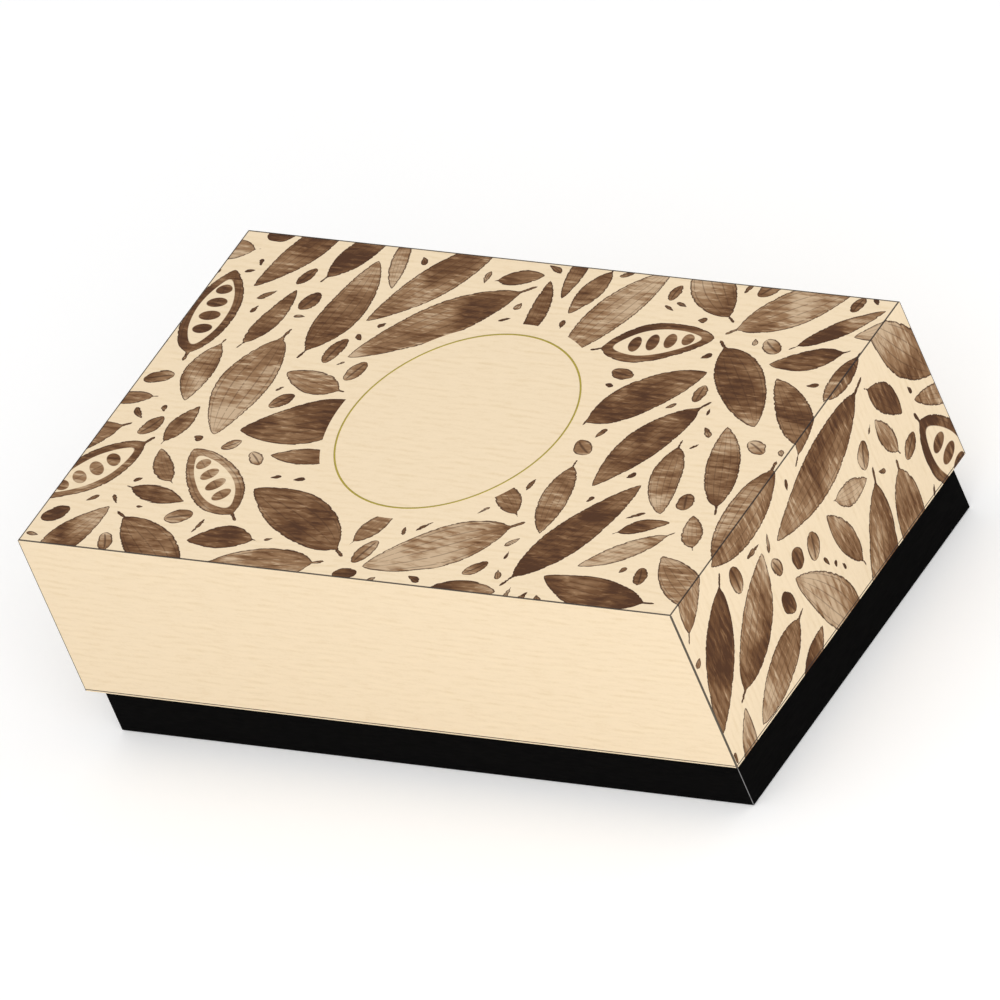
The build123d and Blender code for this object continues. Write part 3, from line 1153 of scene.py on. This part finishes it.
def cocoa_coat(tone):
    """Cocoa powder in small clumps."""
    stops = ((0.3, shaded(tone, 0.55)), (0.6, tone), (0.8, shaded(tone, 1.5)))
    return grained(
        "cocoa_dust", 500, stops, depth=0.35, strength=0.8, detail=5, rough=0.7,
        Roughness=0.95, Specular_IOR_Level=0.1,
    )


def nut_skin():
    """Roasted skin with lengthwise veins."""
    stops = ((0.35, srgb(112, 66, 34)), (0.55, srgb(156, 100, 56)), (0.75, srgb(196, 148, 96)))
    return grained(
        "hazelnut_skin", (700, 700, 130), stops, depth=0.12, strength=0.5, detail=4, rough=0.6, Roughness=0.5
    )


def height_field(half, corner, skirt, crown, around=24, across=22):
    """A closed bonbon: rounded-square rings up to its shoulder, then a top whose height is a formula."""
    rings = []
    for inset, z in skirt:
        edge = even_outline(half - inset, max(corner - inset, 0.2 * MM), around)
        rings.append([(x, y, z) for x, y in edge])
    for level in range(1, across):
        share = 1 - level / across
        rings.append([(x * share, y * share, crown(x * share, y * share, share)) for x, y in edge])
    bm = bmesh.new()
    made = skin_between(bm, rings)
    bm.faces.new(reversed(made[0]))
    fan(bm, made[-1], crown(0, 0, 0))
    return tidy(bm)


def shoulder(height, edge, flare=0.35 * MM, steps=6):
    """A moulded side: slightly drawn in upwards, with a rounded upper edge. (inset, level) pairs."""
    pairs = [(0.3 * MM, 0), (0.0, 0.35 * MM), (flare, height - edge)]
    for swing in quarter_turn(steps):
        pairs.append((flare + edge * (1 - math.cos(swing)), height - edge + edge * math.sin(swing)))
    return pairs


def bar(across, along, half_width, reach):
    """Height share of a rounded bar: 1 on its line, falling to 0 at its side and towards its ends."""
    side = max(1 - (across / half_width) ** 2, 0) ** 0.85
    end = min(max((reach - abs(along)) / half_width, 0), 1) ** 0.5
    return side * end


def ridged_square(half, height, edge):
    """A square with two raised bars aslant on its top."""
    top, reach = height - RIDGE, half - CORNER

    def crown(x, y, share):
        across, along = (x - y) / math.sqrt(2), (x + y) / math.sqrt(2)
        return top + RIDGE * max(
            bar(across + side * reach / 2, along, 1.5 * RIDGE, reach) for side in (-1, 1)
        )

    return height_field(half, CORNER, shoulder(top, edge), crown, 42, 44)


def forked_square(half, height, edge):
    """A square with three waves drawn on its top with a fork."""
    top, spacing = height - RIDGE, 5 * MM

    def crown(x, y, share):
        wave = 0.25 * MM * math.sin(x * 600)
        return top + RIDGE * max(
            bar(y + row * spacing + wave, x, 1.6 * RIDGE, half - 1.5 * CORNER) for row in (-1, 0, 1)
        )

    return height_field(half, CORNER, shoulder(top, edge), crown, 42, 44)


def plain_square(half, height, edge):
    """A square with a slightly domed top, for the drizzle."""
    rise = 0.15 * MM
    skirt = shoulder(height - rise, edge)
    return height_field(half, CORNER, skirt, lambda x, y, share: height - rise * share ** 2)


def nut_square(half, height, edge):
    """A square with a shallow round seat for its nut."""
    seat, depth = 3.854 * MM, 2.1 * MM

    def crown(x, y, share):
        return height - depth * max(1 - (math.hypot(x, y) / seat) ** 2, 0)

    return height_field(half, CORNER, shoulder(height, edge), crown, 24, 30)


def dome(half, height, edge, count=14):
    """A half round on a short upright foot, nearly flat at its very top."""
    foot = 2.5 * MM
    pairs = [(0.2 * MM, 0), (0.0, 0.4 * MM), (0.0, foot)]
    for swing in quarter_turn(count)[:-1]:
        pairs.append((half * (1 - math.cos(swing)), foot + (height - foot) * math.sin(swing)))

    def crown(x, y, share):
        return height - (1 - math.cos(share * 0.1)) * MM

    return height_field(half, half, pairs, crown, 24, 3)


def pyramid(half, height, edge):
    """A blunt pyramid on a foot, with small bevels."""
    half = half - 1 * MM
    tip, foot, bevel = 4 * MM, 2 * MM, 0.5 * MM
    pairs = [
        (0.3 * MM, 0), (0.0, 0.3 * MM), (0.0, foot - bevel), (0.12 * MM, foot),
        (half - tip - bevel * 0.3, height - bevel), (half - tip + bevel * 0.5, height - bevel * 0.25),
        (half - tip + bevel, height),
    ]
    return height_field(half, 1.2 * MM, pairs, lambda x, y, share: height, 16, 4)


def truffle(half, height, edge):
    """A hand-rolled ball on a small flat foot, uneven all over."""
    sunk, unevenness = 1 * MM, 0.018
    radius = (height + sunk) / 2
    bm = bmesh.new()
    bmesh.ops.create_icosphere(bm, subdivisions=4, radius=radius)
    for vert in bm.verts:
        x, y, z = vert.co / radius
        bulge = 0.5 * math.sin(5 * x + 2 * z) * math.sin(4 * y - 3 * x)
        bulge += 0.3 * math.sin(9 * z + 7 * y) * math.sin(8 * x)
        vert.co *= 1 - unevenness + unevenness * bulge
        vert.co.z = max(vert.co.z + radius - sunk, 0)
    return tidy(bm)


def hazelnut(half, height, edge, around=48, levels=28):
    """Round below, drawn up into a small point, with faint lengthwise ribs."""
    rings = []
    for level in range(1, levels):
        rise = -math.pi / 2 + math.pi * level / levels
        point = max(math.sin(rise) - 0.75, 0)
        z = NUT_RADIUS * (1 + math.sin(rise)) + point * (height - 2 * NUT_RADIUS) * 4
        ring = []
        for index in range(around):
            swing = 2 * math.pi * index / around
            rib = 1 + 0.006 * math.sin(12 * swing + 2 * math.sin(3 * rise))
            reach = NUT_RADIUS * math.cos(rise) * rib
            ring.append((reach * math.cos(swing), reach * math.sin(swing), z))
        rings.append(ring)
    bm = bmesh.new()
    made = skin_between(bm, rings)
    fan(bm, made[0], 0.0)
    fan(bm, made[-1], height)
    return tidy(bm)


def drizzle(half, height, material):
    """A thin chocolate thread laid to and fro across a bonbon's top, by Geometry Nodes along a path."""
    turns, margin, thread_radius, lift = 7, 3.4 * MM, 0.42 * MM, 0.12 * MM
    reach, slack, pull = half - margin, 1.1 * MM, 1.2 * MM
    path = bpy.data.curves.new("thread_path", "CURVE")
    path.dimensions = "3D"
    spline = path.splines.new("BEZIER")
    spline.bezier_points.add(turns - 1)
    for index, point in enumerate(spline.bezier_points):
        side = 1 if index % 2 else -1
        x = (index / (turns - 1) - 0.5) * 2 * reach
        y = side * reach * (1 - 0.1 * math.sin(3 * index))
        point.co = (x, y, height + lift)
        point.handle_left = point.co + Vector((-slack, -side * pull, 0))
        point.handle_right = point.co + Vector((slack, -side * pull, 0))
    source = new_object("thread_path", path)
    tree = Blocks("drizzle")
    radius = tree.input("Thread radius", "Float", thread_radius)
    line = tree.input("Path", "Object", source)
    curve = tree.node("GeometryNodeObjectInfo", {"Object": line}, "Geometry")
    dense = tree.node("GeometryNodeResampleCurve", {"Curve": curve, "Count": 90})
    section = tree.node("GeometryNodeCurvePrimitiveCircle", {"Resolution": 10, "Radius": radius})
    thread = tree.node("GeometryNodeCurveToMesh", {
        "Curve": dense, "Profile Curve": section, "Fill Caps": True,
    })
    smooth = tree.node("GeometryNodeSetShadeSmooth", {"Geometry": thread})
    piece = tree.bake("thread", smooth, material)
    bpy.data.objects.remove(source)
    return piece


BONBONS = {
    "ridged_squares": (ridged_square, "dark", "dark_chocolate"),
    "domes": (dome, "dark", "dark_chocolate"),
    "forked_squares": (forked_square, "milk", "milk_chocolate"),
    "truffles": (truffle, "cocoa", "cocoa_dust"),
    "plain_squares": (plain_square, "white", "white_chocolate"),
    "pyramids": (pyramid, "dark", "dark_chocolate"),
    "nut_squares": (nut_square, "milk", "milk_chocolate"),
    "hazelnuts": (hazelnut, "nut", "hazelnut"),
}


class BOX_OT_bonbons(bpy.types.Operator):
    """Sets four bonbons of each kind in their cups, layer by layer"""

    bl_idname = "box.bonbons"
    bl_label = "Bonbons"

    def execute(self, context):
        chosen = context.scene.box_chocolate
        finishes = {
            "dark": chocolate("dark_chocolate", tuple(chosen.dark), 0.3),
            "milk": chocolate("milk_chocolate", tuple(chosen.milk), 0.34),
            "white": chocolate("white_chocolate", tuple(chosen.white), 0.36, 0.02),
            "cocoa": cocoa_coat(tuple(chosen.cocoa)),
            "nut": nut_skin(),
        }
        for layer, body in LAYERS:
            cells = Cells(layer)
            half = cells.side / 2
            for kind, (build, tone, slot) in BONBONS.items():
                node = layer + "_" + kind
                centre, height = self.stand(node)
                shape = piece_from(kind, build(half, height, chosen.edge), finishes[tone], smooth=True)
                settle(in_cells("set_" + node, shape, cells, 1, centre), body, slot, node)
            centre, height = self.stand(layer + "_plain_squares")
            thread = drizzle(half, height, finishes["dark"])
            settle(in_cells(layer + "_drizzle", thread, cells, 1, centre), body, "dark_chocolate")
        return {"FINISHED"}

    def stand(self, node):
        """Where the column of a kind stands, and how tall the kind is."""
        low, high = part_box(node)
        return ((low.x + high.x) / 2, 0, low.z), high.z - low.z


class BOX_OT_dividers(bpy.types.Operator):
    """Finishes the slotted card grids"""

    bl_idname = "box.dividers"
    bl_label = "Divider grids"

    def execute(self, context):
        card = card_stock("divider_card", srgb(70, 46, 35), srgb(92, 64, 49), 0.55, (250, 250, 1800))
        for layer, _ in LAYERS:
            paint(layer + "_long_dividers", card)
            paint(layer + "_cross_dividers", card)
        return {"FINISHED"}


def cushion(name, low, high, material, count_x=176, count_y=100):
    """A quilted cushion: pillows between crossing crimps, thinning to a pressed edge all round."""
    middle, thick = (low.z + high.z) / 2, (high.z - low.z) / 2

    def spread(low_end, high_end, count):
        """Steps across, even inside and closer together at the two edges."""
        shares = (index / count for index in range(count + 1))
        size = high_end - low_end
        return [low_end + size * (share - 0.012 * math.sin(2 * math.pi * share)) for share in shares]

    def rise(x, y):
        along, across = (x + y) * math.pi / QUILT, (x - y) * math.pi / QUILT
        pillow = (abs(math.sin(along)) * abs(math.sin(across))) ** 0.5
        away = min(x - low.x, high.x - x, y - low.y, high.y - y)
        border = min(max(away / PRESSED_EDGE, 0), 1)
        return thick * (0.1 + 0.9 * (1 - (1 - border) ** 2) ** 0.5 * (0.3 + 0.7 * pillow))

    bm = bmesh.new()
    borders = []
    places_x, places_y = spread(low.x, high.x, count_x), spread(low.y, high.y, count_y)
    for side in (1, -1):
        grid = [[bm.verts.new((x, y, middle + side * rise(x, y))) for x in places_x] for y in places_y]
        for row, above in zip(grid, grid[1:]):
            join(bm, *(row, above)[::side], closed=False)
        right, left = [row[-1] for row in grid[:-1]], [row[0] for row in grid[:0:-1]]
        borders.append(grid[0][:-1] + right + grid[-1][:0:-1] + left)
    upper, lower = borders
    join(bm, lower, upper)
    bmesh.ops.recalc_face_normals(bm, faces=bm.faces)
    return piece_from(name, bm, material, smooth=True)


def cushion_tissue():
    """Tissue, with painted shade darkening the pressed seams of the quilting."""
    finish = Finish("cushion_tissue", Roughness=0.55, Sheen_Weight=0.15)
    x, y, _ = finish.split(finish.place())
    seams = [abs(finish.math("SINE", (x + y * sign) * (math.pi / QUILT))) for sign in (1, -1)]
    painted_seam_shade = finish.less(finish.math("MINIMUM", *seams), 0.04, 0.3)
    crinkle = finish.noise(600, 3, 0.55, 0.6)
    tint = finish.ramp(crinkle, (0.3, srgb(232, 222, 202)), (0.7, srgb(243, 235, 218)))
    # Painted shade: the dips along the quilting seams are darkened in the colour.
    tint = finish.mix(painted_seam_shade * 0.75, tint, srgb(196, 180, 150))
    return finish.done(Base_Color=tint, Normal=finish.bump(crinkle, 0.06 * MM, 0.4))


class BOX_OT_cushions(bpy.types.Operator):
    """Makes the two crimped cushions"""

    bl_idname = "box.cushions"
    bl_label = "Cushions"

    def execute(self, context):
        tissue = cushion_tissue()
        for layer, _ in LAYERS:
            piece = cushion(layer + "_crimped_cushion", *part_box(layer + "_pad"), tissue)
            settle(piece, layer + "_cushion", "pad_paper", layer + "_pad")
        return {"FINISHED"}


def gold_card():
    """Card with a brushed gold laminate."""
    stops = ((0.3, srgb(186, 154, 92)), (0.7, srgb(214, 186, 126)))
    return grained(
        "gold_card", (40, 1600, 400), stops, depth=0.02, strength=0.4, rough=0.6,
        Metallic=0.85, Roughness=0.32,
    )


def menu_print():
    """Cream card with a plan of the layer: one small outline and a dot for each cell."""
    half_width, line_edge, dot_edge = 7.5 * MM, (0.22 * MM, 0.34 * MM), (2.4 * MM, 2.55 * MM)
    cells = Cells("upper")
    finish = Finish("menu_print", Roughness=0.6)
    x, y, _ = finish.split(finish.place())
    column = x / cells.pitch_x + cells.columns / 2
    row = y / cells.pitch_y + cells.rows / 2
    off_x = abs((finish.math("FRACT", column) - 0.5) * cells.pitch_x)
    off_y = abs((finish.math("FRACT", row) - 0.5) * cells.pitch_y)
    away = finish.math("SQRT", off_x * off_x + off_y * off_y)
    is_round = finish.math("MODULO", finish.math("FLOOR", column), 2.0)
    outline = finish.between(is_round, finish.most(off_x, off_y), away)
    line = finish.less(abs(outline - half_width), *line_edge)
    dot = finish.less(away, *dot_edge)
    fibre = finish.noise(500, 4, 0.6)
    card = finish.ramp(fibre, (0.3, srgb(238, 226, 200)), (0.7, srgb(248, 238, 216)))
    tint = finish.mix(finish.most(line, dot) * 0.85, card, srgb(96, 64, 48))
    return finish.done(Base_Color=tint, Normal=finish.bump(fibre, 0.03 * MM, 0.4))


class BOX_OT_cards(bpy.types.Operator):
    """Finishes the platform card and the menu card"""

    bl_idname = "box.cards"
    bl_label = "Cards"

    def execute(self, context):
        paint("platform_card", gold_card())
        paint("menu_card", menu_print())
        return {"FINISHED"}


OPERATORS = (
    BOX_OT_stage, BOX_OT_lid_paper, BOX_OT_foil, BOX_OT_base, BOX_OT_dividers, BOX_OT_cups, BOX_OT_bonbons,
    BOX_OT_cushions, BOX_OT_cards,
)


class BOX_PT_panel(bpy.types.Panel):
    """Lists the steps that dress the box"""

    bl_label = "Chocolate Box"
    bl_idname = "BOX_PT_panel"
    bl_space_type = "VIEW_3D"
    bl_region_type = "UI"
    bl_category = "Chocolate Box"

    def draw(self, context):
        for operator in OPERATORS:
            self.layout.operator(operator.bl_idname)
        for name, group in SETTINGS.items():
            box = self.layout.box()
            for key in group.__annotations__:
                box.prop(getattr(context.scene, name), key)


CLASSES = (*SETTINGS.values(), *OPERATORS, BOX_PT_panel)


def register():
    for kind in CLASSES:
        bpy.utils.register_class(kind)
    for name, group in SETTINGS.items():
        setattr(bpy.types.Scene, name, PointerProperty(type=group))


def unregister():
    for name in SETTINGS:
        delattr(bpy.types.Scene, name)
    for kind in reversed(CLASSES):
        bpy.utils.unregister_class(kind)


def main():
    """Registers the add-on and runs its steps in order."""
    register()
    bpy.ops.box.stage()
    bpy.ops.box.lid_paper()
    bpy.ops.box.foil()
    bpy.ops.box.base()
    bpy.ops.box.dividers()
    bpy.ops.box.cups()
    bpy.ops.box.bonbons()
    bpy.ops.box.cushions()
    bpy.ops.box.cards()


if __name__ == "__main__":
    main()
